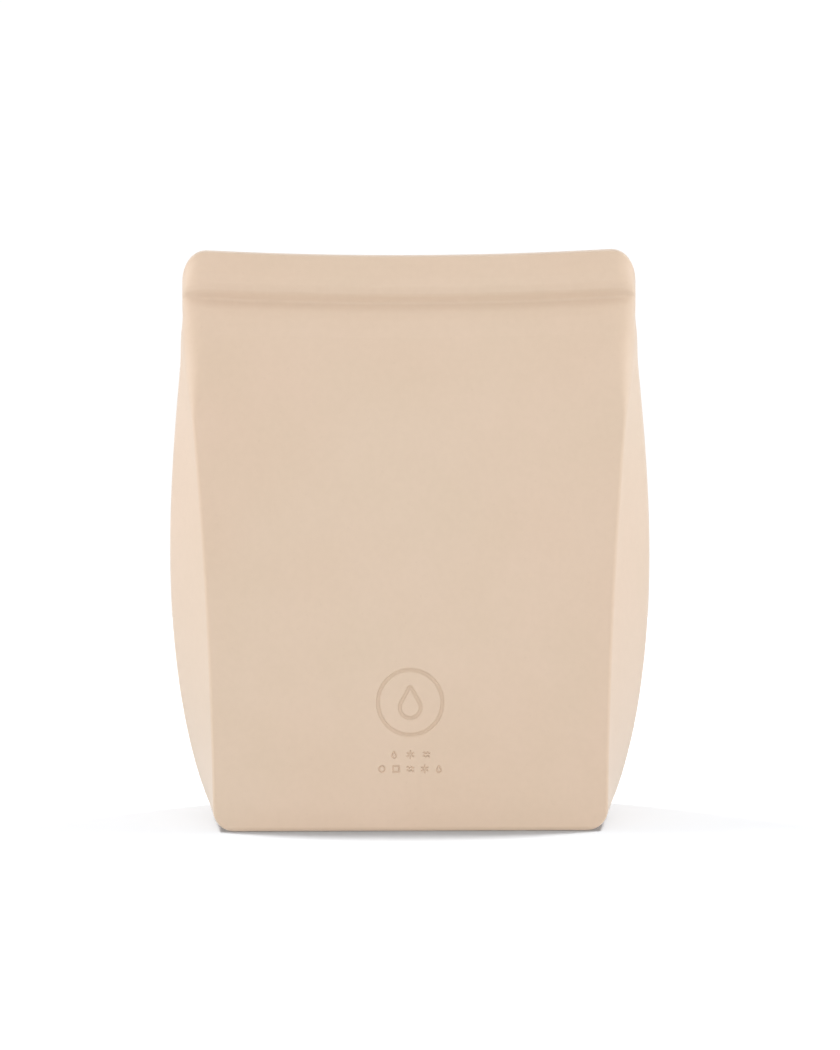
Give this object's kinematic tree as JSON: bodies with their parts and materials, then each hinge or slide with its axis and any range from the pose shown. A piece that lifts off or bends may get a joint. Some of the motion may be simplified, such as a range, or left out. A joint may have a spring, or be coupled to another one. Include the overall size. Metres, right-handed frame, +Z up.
{
  "type": "reusable silicone bag",
  "caption": "Stand-up silicone storage bag with a flat base, creased side gussets and a press-seal mouth between two grip lips.",
  "frame": {"origin": "middle of the base's underside, on the plane the bag stands on", "axes": "+Z up towards the mouth, +X to the right along the mouth, -Y out of the wall with the debossed emblem"},
  "size_m": [0.1668, 0.078, 0.1991],
  "materials": {
    "silicone": "matte moulded silicone, warm beige"
  },
  "bodies": {
    "shell": {"base_panel": "silicone", "right_gusset_front": "silicone", "right_gusset_back": "silicone", "left_gusset_front": "silicone", "left_gusset_back": "silicone", "right_mouth_end": "silicone", "left_mouth_end": "silicone"},
    "front_side": {"front_wall": "silicone", "front_seal_band": "silicone", "front_lip": "silicone", "seal_tongue": "silicone"},
    "back_side": {"back_wall": "silicone", "back_seal_band": "silicone", "back_lip": "silicone", "seal_ribs": "silicone"}
  },
  "joints": [
    {"name": "front_wall_open", "type": "hinge", "parent": "shell", "child": "front_side", "pos_m": [0, -0.039, 0.0083], "axis": [1, 0, 0], "range_deg": [0, 8], "stiffness_Nm_per_rad": 1},
    {"name": "back_wall_open", "type": "hinge", "parent": "shell", "child": "back_side", "pos_m": [0, 0.039, 0.0083], "axis": [-1, 0, 0], "range_deg": [0, 8], "stiffness_Nm_per_rad": 1}
  ]
}
